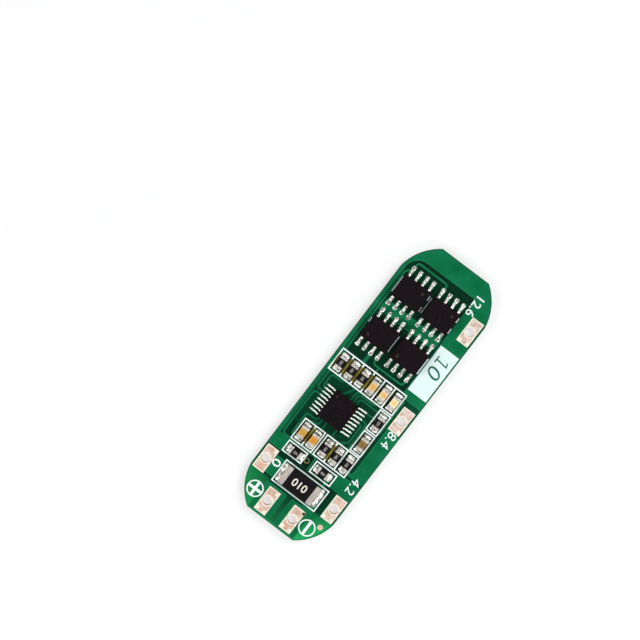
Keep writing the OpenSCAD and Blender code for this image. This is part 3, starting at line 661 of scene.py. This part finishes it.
def moulding():
    f = Finish("moulded_epoxy", (0.008, 0.005, 0.008), Specular_IOR_Level=0.05)
    speck = f.grain(0.14, 3)
    tone = f.mix(speck.ramp(0.42, 0.78), (0.002, 0.001, 0.002), (0.022, 0.014, 0.017))
    floors = [span_of(node)[1].z - DIMPLE for node in (BODIES[0], BODIES[-1])]
    polished_floor_and_sheen = sum(inside(f.axis("Z"), z - 0.02, z + 0.02, 0.01) for z in floors)
    polished_floor_and_sheen = polished_floor_and_sheen * f.upward().ramp(0.9, 0.95)
    # painted sheen: the polished floor is a little lighter and browner
    f.set("Base Color", f.mix(polished_floor_and_sheen, tone, (0.035, 0.03, 0.022)))
    f.set("Roughness", f.grain(0.3) * 0.2 + 0.52 - polished_floor_and_sheen * 0.25)
    return f.relief(speck, 0.01)


moulded = moulding()
for node in BODIES:
    eased(node, moulded, 0.05)

# %% [markdown]
# Leads are stamped from a copper sheet, plated with tin and bent into a gull wing. The stamped
# edges are rounded. The plating is bright, and on the transistors it carries patches of painted
# dark reflection.

# %% Leads
tinned = mottled("tinned_lead", (0.97, 0.96, 0.92), (0.72, 0.7, 0.64), 0.2, 0.35, 0.75,
                 Metallic=0.6)
tinned.set("Roughness", tinned.grain(0.15) * 0.18 + 0.22)
# painted dark reflections in patches on the transistors' leads
lead_with_dark_reflections = mottled("lead_painted_reflections", (0.95, 0.93, 0.88), (0.2, 0.18, 0.15), 0.3, 0.44, 0.6,
                  Metallic=0.6, Roughness=0.3)
for finish in (tinned, lead_with_dark_reflections):
    finish.relief(finish.grain(0.2), 0.005)
for body in BODIES:
    finish, edge = (lead_with_dark_reflections, 0.03) if body.startswith("transistor") else (tinned, 0.015)
    eased(body.replace("_body", "_leads"), finish, edge)
print("lead frames", len(BODIES))

# %% [markdown]
# A solder joint is a liquid that froze: it wets its land to the edge, climbs the metal in a
# hollow curve and has no flat face. Each joint is a small height field over its land: a
# function gives the metal's height at each distance from the part and at each share of the
# width, from -1 to 1. The corners are pinched in, because molten metal never fills them.

# %% Solder joints
def joint(shape, origin, outward, start, end, width, height, steps=(14, 9), neck=1.0):
    """Height field from start to end along outward; neck narrows it near its start."""
    sideways = Vector((-outward.y, outward.x, 0))
    rows, columns = steps
    top, foot = [], []
    for i in range(rows + 1):
        u = i / rows
        reach = start + (end - start) * u
        waist = neck + (1 - neck) * min(max((u - 0.25) / 0.3, 0), 1) ** 2
        pinch = (waist * math.sqrt(1 - 0.9 * max(0, 2 * u - 1) ** 3)
                 * math.sqrt(1 - 0.5 * max(0, 1 - 5 * u) ** 2))
        for row, lifted in ((top, True), (foot, False)):
            row.append([])
            for j in range(columns + 1):
                v = 2 * j / columns - 1
                point = origin + outward * reach + sideways * (v * pinch * width / 2)
                rise = Vector((0, 0, height(reach, v) if lifted else 0))
                row[-1].append(shape.verts.new((point + rise) * MM))
    for i in range(rows):
        for j in range(columns):
            shape.faces.new((top[i][j], top[i + 1][j], top[i + 1][j + 1], top[i][j + 1]))
            shape.faces.new((foot[i][j], foot[i][j + 1], foot[i + 1][j + 1], foot[i + 1][j]))
    for i in range(rows):
        for j in (0, columns):
            shape.faces.new((top[i][j], foot[i][j], foot[i + 1][j], top[i + 1][j]))
    for j in range(columns):
        for i in (0, rows):
            shape.faces.new((top[i][j], top[i][j + 1], foot[i][j + 1], foot[i][j]))


def hollow(x, x0, run, low, high):
    """Meniscus: high at x0, low at x0 + run, hollow between."""
    t = min(max((x - x0) / run, 0), 1)
    return low + (high - low) * (1 - math.sqrt(1 - (1 - t) ** 2))


def soldered(name, shape, finish, node):
    """One piece made of many joints that replaces a CAD node."""
    piece = new_piece(name, mesh_of(shape, name), finish, smooth=60)
    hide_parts(node)
    print(name, "faces", len(piece.data.polygons))


print("a meniscus at half its run", round(hollow(0.5, 0, 1, 0, 1), 3), "of its height")

# %% [markdown]
# Along each lead the metal forms a ridge that thins out to the toe of the land, and a random swell
# keeps two joints from being twins. The solder is bright, with patches of painted dark reflection:
# small and dark on the transistors, faint on the fine leads.

# %% Joints of the leads
def solder(name, pitch, dark_reflection):
    """Bright solder with patches of painted dark reflection about pitch millimetres apart."""
    f = mottled(name, (0.9, 0.89, 0.85), dark_reflection, pitch, 0.4, 0.58, Metallic=0.85)
    f.set("Roughness", f.grain(0.3) * 0.14 + 0.12)
    return f.relief(f.grain(0.3), 0.012)


def lead_joints(shape, body, seed, pins, pitch, along_x, width, lead_width, heel, tip, toe, climb):
    """Joints of both lead rows of one package; the rows run across outward."""
    rng = random.Random(seed)
    middle = span_of(body)[2]
    for side in (-1, 1):
        outward = Vector((side, 0, 0)) if along_x else Vector((0, side, 0))
        row = Vector((0, 1, 0)) if along_x else Vector((1, 0, 0))
        for pin in range(pins):
            origin = Vector((middle.x, middle.y, foil_top)) + row * (pin - (pins - 1) / 2) * pitch
            swell = 1 + 0.25 * rng.random()

            def height(x, v, swell=swell):
                ridge = hollow(x, tip, toe, 0.03, climb * swell)
                beside = max(0, (abs(v) * width - lead_width) / (width - lead_width))
                return 0.015 + (ridge - 0.015) * math.sqrt(max(0, 1 - beside ** 1.5))
            joint(shape, origin, outward, heel, tip + toe, width, height, neck=0.66)


fet_shape, ic_shape = bmesh.new(), bmesh.new()
for i in (1, 2, 3, 4):
    lead_joints(fet_shape, f"transistor_{i}_body", i, pins=4, pitch=1.27, along_x=True, width=0.7,
                lead_width=0.42, heel=2.3, tip=3.0, toe=0.65, climb=0.19)
lead_joints(ic_shape, "protection_ic_body", 9, pins=8, pitch=0.65, along_x=False, width=0.28,
            lead_width=0.22, heel=2.5, tip=3.2, toe=0.6, climb=0.11)
# the third argument of solder is the colour of its painted dark reflections
soldered("transistor_joints", fet_shape, solder("reflowed_solder", 0.26, (0.16, 0.15, 0.13)),
         "transistor_solder")
soldered("protection_ic_joints", ic_shape, solder("fine_solder", 0.4, (0.62, 0.6, 0.55)),
         "protection_ic_solder")

# %% [markdown]
# Chip parts are small bricks with metal on both ends. The end caps are tin over nickel, dull beside
# the bright solder that climbs them, and the large caps of the shunt are brushed. A resistor is a
# white ceramic chip under a black glass coat. A capacitor is fired ceramic: its colour depends on
# the mix of powders, from pale straw to brown, and a painted highlight makes its top deepest in the
# middle and paler toward the rim.

# %% Chip parts
cap_metal = mottled("end_cap_metal", (0.62, 0.59, 0.54), (0.34, 0.31, 0.28), 0.3, 0.35, 0.7,
                    Metallic=0.7)
cap_metal.set("Roughness", cap_metal.grain(0.2, 3) * 0.2 + 0.3)
cap_metal.relief(cap_metal.grain(0.15), 0.005)
brushed_cap = Finish("brushed_cap_metal", (0.72, 0.65, 0.58), Metallic=0.6, Roughness=0.4)
brush = brushed_cap.grain(0.22, 3, stretch=(0.12, 1, 1))
brushed_cap.set("Base Color", brushed_cap.mix(
    brush.ramp(0.35, 0.65), (0.57, 0.52, 0.47), (0.34, 0.31, 0.28)))
brushed_cap.relief(brush, 0.006)
glass_coat = mottled("black_glass_coat", (0.004, 0.003, 0.005), (0.011, 0.008, 0.01), 0.5, 0, 1,
                     Specular_IOR_Level=0.06, Coat_Weight=0.02)
glass_coat.set("Roughness", glass_coat.grain(0.4) * 0.15 + 0.25)
glass_coat.relief(glass_coat.grain(0.25), 0.005)


def fired_ceramic(number, colour):
    """Ceramic of one capacitor; a painted highlight leaves its top deep in the middle and pale
    toward the rim.
    """
    f = Finish(f"fired_ceramic_{number}", colour,
               Roughness=0.42, Specular_IOR_Level=0.2, Coat_Weight=0.04)
    middle = span_of(f"capacitor_{number}")[2]
    x, y = f.axis("X") - middle.x, f.axis("Y") - middle.y
    pale = tuple(min(1, c * more) for c, more in zip(colour, (1.12, 1.32, 2.1)))
    deep = tuple(c * less for c, less in zip(colour, (0.98, 0.9, 0.7)))
    # painted highlight: the top turns paler toward its rim
    tone = f.mix((x * x + y * y).ramp(0.02, 0.42) * (lying_flat(f) * 0.7 + 0.3), deep, pale)
    f.set("Base Color", f.mix(f.grain(0.4, 3).ramp(0.3, 0.8) * 0.2, tone, (0.1, 0.03, 0.0)))
    return f.relief(f.grain(0.1), 0.006)


CERAMICS = [(0.98, 0.72, 0.33), (0.85, 0.57, 0.24), (0.78, 0.47, 0.14),
            (0.245, 0.148, 0.048), (0.7, 0.31, 0.04), (0.63, 0.34, 0.065)]
for number, colour in enumerate(CERAMICS, 1):
    eased(f"capacitor_{number}", fired_ceramic(number, colour), 0.06)
    eased(f"capacitor_{number}_caps", cap_metal, 0.035)
for number in range(1, 10):
    eased(f"resistor_{number}", glass_coat, 0.03)
    eased(f"resistor_{number}_caps", cap_metal, 0.03)
eased("shunt", glass_coat, 0.04)
eased("shunt_caps", brushed_cap, 0.05)
print("capacitors", len(CERAMICS))

# %% [markdown]
# The joint of a chip is a fillet that climbs most of its end cap, over a thin film of solder
# between cap and land. Each fillet leans to one side and swells by its own amount.

# %% Joints of the chips
FILM = 0.048


def chip_joints(shape, node, toe, climb_share):
    """Two fillets at the ends of the chip whose caps are node."""
    rng = random.Random(node)
    low, high, middle = span_of(node)
    size = high - low
    along_x = size.x > size.y
    length, width = (size.x, size.y) if along_x else (size.y, size.x)
    origin, end = Vector((middle.x, middle.y, foil_top)), length / 2
    for side in (-1, 1):
        outward = Vector((side, 0, 0)) if along_x else Vector((0, side, 0))
        lean, swell = rng.uniform(-0.12, 0.12), rng.uniform(0.85, 1.1)

        def height(x, v, lean=lean, swell=swell):
            ridge = hollow(x, end, toe, 0.03, size.z * climb_share * swell * (1 + lean * v))
            return 0.02 + (ridge - 0.02) * (1 - abs(v) ** 5)
        joint(shape, origin, outward, end - 0.02, end + toe, width, height, steps=(12, 12))
        joint(shape, origin, outward, end - 0.3, end, width * 0.98, lambda x, v: FILM, (2, 2))


chip_shape, shunt_shape = bmesh.new(), bmesh.new()
for kind, count in (("capacitor", 6), ("resistor", 9)):
    for number in range(1, count + 1):
        chip_joints(chip_shape, f"{kind}_{number}_caps", 0.6, 0.8)
chip_joints(shunt_shape, "shunt_caps", 0.7, 0.85)
chip_solder = solder("chip_solder", 0.55, (0.3, 0.28, 0.25))
soldered("chip_joints", chip_shape, chip_solder, "chip_solder")
soldered("shunt_joints", shunt_shape, chip_solder, "shunt_solder")

# %% [markdown]
# White print tells the hand where each wire goes. It is ink laid on by a screen, a little
# thick, and thin in specks. Frames and bars are closed solids that reach down into the mask, so
# no gap shows beneath them, and the numbers come from Blender's own plain font. Its figure 1
# has no foot, so the one that needs a foot is drawn from three slabs.

# %% Ink and flat print
INK = {"Roughness": 0.55, "Specular_IOR_Level": 0.25}
ink = mottled("white_ink", (0.77, 0.93, 0.91), (0.55, 0.76, 0.68), 0.12, 0.62, 0.8, **INK)
line_ink = mottled("white_line_ink", (0.88, 0.97, 0.95), (0.66, 0.84, 0.76), 0.12, 0.66, 0.85,
                   **INK)
INK_THICK, INK_ROOT = 0.012, 0.06
LINE, RUNG = 0.21, 0.26


def rectangle(x0, x1, y0, y1):
    return [(x0, y0), (x1, y0), (x1, y1), (x0, y1)]


class Print:
    """Flat print on one face: side is 1 on the component side and -1 on the underside."""

    def __init__(self, side):
        self.side, self.shape = side, bmesh.new()
        face = foil_top if side > 0 else foil_under
        self.low, self.high = face - side * INK_ROOT, face + side * INK_THICK

    def slab(self, loop, hole=None):
        """Solid between the two heights over a loop, less an inner loop of as many points."""
        levels = [[[self.shape.verts.new(Vector((x, y, z)) * MM) for x, y in ring]
                   for z in (self.low, self.high)] for ring in ([loop, hole] if hole else [loop])]
        for low, high in levels:
            wall(self.shape, low, high)
        for level in (0, 1):
            if hole:
                wall(self.shape, levels[0][level], levels[1][level])
            else:
                self.shape.faces.new(levels[0][level])

    def bar(self, x0, x1, y0, y1):
        self.slab(rectangle(x0, x1, y0, y1))

    def frame(self, x0, x1, y0, y1, line=LINE):
        """Line round a rectangle, inside its edges."""
        self.slab(rectangle(x0, x1, y0, y1), rectangle(x0 + line, x1 - line, y0 + line, y1 - line))

    def ladder(self, x0, x1, y0, y1, rungs):
        """Frame with bars across it."""
        self.frame(x0, x1, y0, y1)
        for y in rungs:
            self.bar(x0 + LINE, x1 - LINE, y - RUNG / 2, y + RUNG / 2)

    def ring(self, x, y, radius, points=48):
        turn = [2 * math.pi * k / points for k in range(points)]
        self.slab(*([(x + r * math.cos(t), y + r * math.sin(t)) for t in turn]
                    for r in (radius, radius - LINE)))

    def number(self, text, x, y, cap, width, reads=(1, 0), shear=0.0, bold=0.008):
        """Digits from x, y on, cap tall and width long; reads is the writing direction."""
        data = bpy.data.curves.new("digits", "FONT")
        data.body, data.shear, data.offset = text, shear, bold
        data.resolution_u, data.extrude = 4, 0.5
        letters = bpy.data.objects.new("digits", data)
        bpy.context.scene.collection.objects.link(letters)
        bpy.context.view_layer.update()
        whole = letters.evaluated_get(bpy.context.evaluated_depsgraph_get())
        mesh = bpy.data.meshes.new_from_object(whole)
        bpy.data.objects.remove(letters)
        bpy.data.curves.remove(data)
        xs, ys = [v.co.x for v in mesh.vertices], [v.co.y for v in mesh.vertices]
        wide, tall = width / (max(xs) - min(xs)), cap / (max(ys) - min(ys))
        along, up = Vector((*reads, 0)), Vector((-reads[1], reads[0], 0)) * self.side
        left, foot = min(xs), min(ys)
        for v in mesh.vertices:
            z = self.low + (self.high - self.low) * (v.co.z + 0.5)
            v.co = (Vector((x, y, z)) + along * (v.co.x - left) * wide
                    + up * (v.co.y - foot) * tall) * MM
        self.shape.from_mesh(mesh)
        bpy.data.meshes.remove(mesh)

    def one(self, x, y, cap, lean, line, foot, flag):
        """Figure 1 with a foot bar and a flag; its stem rises from x, y and leans to the right."""
        half, top = line / 2, cap - line
        self.bar(x - foot / 2, x + foot / 2, y, y + line)
        self.slab([(x - half + lean * line, y + line), (x + half + lean * line, y + line),
                   (x + half + lean * cap, y + cap), (x - half + lean * cap, y + cap)])
        edge = x - half + lean * top
        self.slab([(edge - flag, y + top - line), (edge, y + top),
                   (edge + lean * line, y + cap), (edge - flag, y + top)])

    def done(self, name, finish):
        piece = new_piece(name, mesh_of(self.shape, name), finish, smooth=20)
        print(name, "faces", len(piece.data.polygons))


print("ink is", INK_THICK, "mm thick")

# %% [markdown]
# A box stands round every chip, and the chips of one column share the lines between them.
# Short lines show beside the transistors, and each tap has its voltage. The outputs have ringed
# signs, whose bars run over the ring and so stand a hair proud of it.

# %% Lines and signs
NEAR_RUNGS = (2.8, 0.82, -1.18, -3.22, -5.22)
FAR_RUNGS = (2.82, 0.84), (-3.4,)
PROUD = 0.002


def chip_frames(ink_print):
    near, far, upright, shunt = (span_of(node + "_caps")[2].x for node in (
        "capacitor_1", "resistor_5", "resistor_8", "shunt"))
    ink_print.ladder(near - 2.05, near + 1.98, -7.42, 4.93, NEAR_RUNGS)
    for node in ("resistor_4_caps", "capacitor_4_caps"):
        x = span_of(node)[2].x
        ink_print.frame(x - 1.95, x + 1.95, 2.83, 4.97)
    ink_print.ladder(far - 2.0, far + 1.98, -1.27, 4.93, FAR_RUNGS[0])
    ink_print.ladder(far - 2.0, far + 1.98, -5.52, -1.5, FAR_RUNGS[1])
    ink_print.frame(upright - 1.03, upright + 1.17, -0.1, 3.93)
    ink_print.frame(upright - 1.08, upright + 1.02, -5.45, -1.75)
    ink_print.frame(shunt - 2.0, shunt + 2.08, -3.95, 4.4, line=0.2)


def transistor_marks(ink_print, short=0.85, long=2.9, line=0.14):
    """Lines beside the ends of the four packages."""
    for x, y, length in ((-18.1, 3.9, short), (-18.1, -1.65, short), (-10.2, -6.8, short),
                         (-16.05, 3.9, short), (-16.05, -1.65, short),
                         (-18.1, -1.25, long), (-18.1, -6.8, long), (-10.3, -1.65, long)):
        ink_print.bar(x, x + length, y, y + line)
    ink_print.bar(-10.3, -7.4, 3.9, 4.09)


def output_signs(ink_print, minus, plus, radius, bar):
    """Ringed minus and plus at the two outputs."""
    reach = math.sqrt((radius - LINE / 2) ** 2 - (bar / 2) ** 2)
    for x, y in (minus, plus):
        ink_print.ring(x, y, radius)
    ink_print.high += ink_print.side * PROUD
    for x, y in (minus, plus):
        ink_print.bar(x - reach, x + reach, y - bar / 2, y + bar / 2)
    x, y = plus
    ink_print.bar(x - bar / 2, x + bar / 2, y + bar / 2, y + reach)
    ink_print.bar(x - bar / 2, x + bar / 2, y - reach, y - bar / 2)
    ink_print.high -= ink_print.side * PROUD


front_print = Print(1)
chip_frames(front_print)
transistor_marks(front_print)
output_signs(front_print, (22.06, 5.0), (22.02, -5.08), radius=1.36, bar=0.45)
front_print.number("12.6", -22.52, 4.07, 1.45, 3.26)
front_print.number("8.4", 2.1, 6.08, 1.45, 2.7, shear=0.1, bold=0.0)
front_print.number("4.2", 11.17, 6.09, 1.45, 2.7, shear=0.1, bold=0.0)
front_print.number("0", 16.18, -5.54, 1.4, 1.2)
front_print.done("component_side_print", line_ink)

# %% [markdown]
# The current rating stands on a white block beside the transistors. On the real board its
# figures are gaps in the white. Here they are a second, green layer on the block, which looks
# the same and stays a clean solid.

# %% Rating
block_print = Print(1)
block_print.bar(-13.14, -4.69, 4.3, 7.74)
block_print.done("rating_block", ink)
green_ink = mottled("green_ink", (0.004, 0.1, 0.05), (0.008, 0.15, 0.08), 0.3, 0, 1,
                    Roughness=0.4, Specular_IOR_Level=0.3)
rating_print = Print(1)
rating_print.high += INK_THICK
rating_print.one(-11.1, 4.95, cap=2.15, lean=0.13, line=0.22, foot=1.2, flag=0.55)
rating_print.number("0", -9.93, 4.88, 2.3, 1.75, shear=0.2, bold=-0.004)
rating_print.done("rating_print", green_ink)

# %% [markdown]
# The underside has a long white band down its middle with a number in it, and the same
# voltages beside the same terminals. The band stays plain otherwise.

# %% Print on the underside
back_band = Print(-1)
back_band.bar(-22.55, 11.4, -3.0, 0.25)
back_band.done("underside_band", ink)
back_print = Print(-1)
output_signs(back_print, (18.35, 2.42), (18.4, -2.85), radius=1.48, bar=0.54)
back_print.number("12.6", -14.9, 7.5, 1.9, 4.1)
back_print.number("8.4", -2.4, 5.3, 1.8, 3.1)
back_print.number("4.2", 10.0, 7.4, 1.8, 3.0)
back_print.number("0", 11.8, -6.1, 1.7, 1.3)
back_print.done("underside_print", line_ink)
band_print = Print(-1)
band_print.high -= INK_THICK
band_print.number("12.6", -21.3, -0.4, 1.9, 4.3, bold=0.0)
band_print.done("band_print", green_ink)

# %% [markdown]
# The shunt and the resistors carry their values in pale paint on the black glass, written along
# the part. On the small parts the digits are under half a millimetre tall.

# %% Values on the resistors
PAINT = {"Roughness": 0.5, "Specular_IOR_Level": 0.2}
pale_paint = mottled("pale_paint", (0.84, 0.8, 0.7), (0.5, 0.47, 0.42), 0.1, 0.55, 0.8, **PAINT)
dull_paint = mottled("dull_paint", (0.66, 0.63, 0.56), (0.45, 0.42, 0.37), 0.1, 0.45, 0.8, **PAINT)
PAINT_THICK, PAINT_ROOT = 0.006, 0.01


def write_value(paint_print, node, text, cap, width, bold=0.0):
    """Digits in the middle of a part's top, along the part."""
    low, high, middle = span_of(node)
    paint_print.low, paint_print.high = high.z - PAINT_ROOT, high.z + PAINT_THICK
    if high.x - low.x > high.y - low.y:
        x, y, reads = middle.x - width / 2, middle.y - cap / 2, (1, 0)
    else:
        x, y, reads = middle.x - cap / 2, middle.y + width / 2, (0, -1)
    paint_print.number(text, x, y, cap, width, reads, bold=bold)


shunt_print = Print(1)
write_value(shunt_print, "shunt", "010", 1.3, 2.6, bold=0.015)
shunt_print.done("shunt_value", pale_paint)
chip_print = Print(1)
for number, value in enumerate("102 102 101 331 102 102 103 104 102".split(), 1):
    write_value(chip_print, f"resistor_{number}", value, 0.44, 0.66)
chip_print.done("resistor_values", dull_paint)

# %% [markdown]
# Flux that wasn't washed off dries to a glossy yellow varnish between neighbouring chips. Each
# patch is a low pool with a wandering outline, and palest along the white line that it covers.

# %% Flux residue
def dried_flux():
    f = Finish("dried_flux", (0.13, 0.1, 0.008),
               Roughness=0.25, Specular_IOR_Level=0.1, Coat_Weight=0.06, Coat_Roughness=0.1)
    y, far = f.axis("Y"), (f.axis("X") - 6).ramp(0, 1)

    def lines(heights):
        return sum(inside(y, line - 0.05, line + 0.05, 0.1) for line in heights)
    streak = lines(NEAR_RUNGS[2:]) * (1 - far) + lines((0.84, -3.4)) * far
    body = f.mix(f.grain(0.5, 3).ramp(0.3, 0.7), (0.12, 0.095, 0.008), (0.035, 0.04, 0.005))
    f.set("Base Color", f.mix(streak * f.grain(0.9).ramp(0.2, 0.6), body, (0.4, 0.33, 0.06)))
    return f.relief(f.grain(0.3), 0.012)


def flux_pool(shape, rng, x, y, half_x, half_y):
    """Low pool about x, y whose edge wanders by a tenth of its size."""
    height, around, rings = 0.1, 40, 4
    base = board_high.z + 0.002
    waves = [(k, rng.uniform(-0.06, 0.06), rng.uniform(0, 6.28)) for k in (2, 3, 5, 7)]

    def ring(share, z):
        points = []
        for t in (2 * math.pi * k / around for k in range(around)):
            wander = share * (1 + sum(a * math.cos(n * t + p) for n, a, p in waves))
            squared = (abs(math.cos(t)) ** 3 + abs(math.sin(t)) ** 3) ** (-1 / 3)
            points.append(shape.verts.new(Vector((
                x + half_x * wander * squared * math.cos(t),
                y + half_y * wander * squared * math.sin(t), z)) * MM))
        return points
    climb = [k / rings for k in range(rings)]
    stack(shape, [ring(1 - u ** 2 * 0.8, base + height * math.sin(math.pi / 2 * u)) for u in climb])


def flux_pools():
    rng = random.Random(11)
    shape = bmesh.new()
    near, far = span_of("capacitor_1_caps")[2].x, span_of("resistor_5_caps")[2].x
    for x, y, half_x, half_y in (
            (near, -1.15, 1.6, 0.33), (near, -3.2, 1.6, 0.33), (near, -5.2, 1.6, 0.33),
            (near + 0.1, -7.0, 1.5, 0.3), (far, 0.84, 1.6, 0.33), (far - 0.1, -3.4, 1.6, 0.31),
            (18.1, -3.55, 0.4, 0.25)):
        flux_pool(shape, rng, x, y, half_x, half_y)
    return mesh_of(shape, "flux_pools")


flux_piece = new_piece("flux_pools", flux_pools(), dried_flux(), smooth=60)
print("flux faces", len(flux_piece.data.polygons))
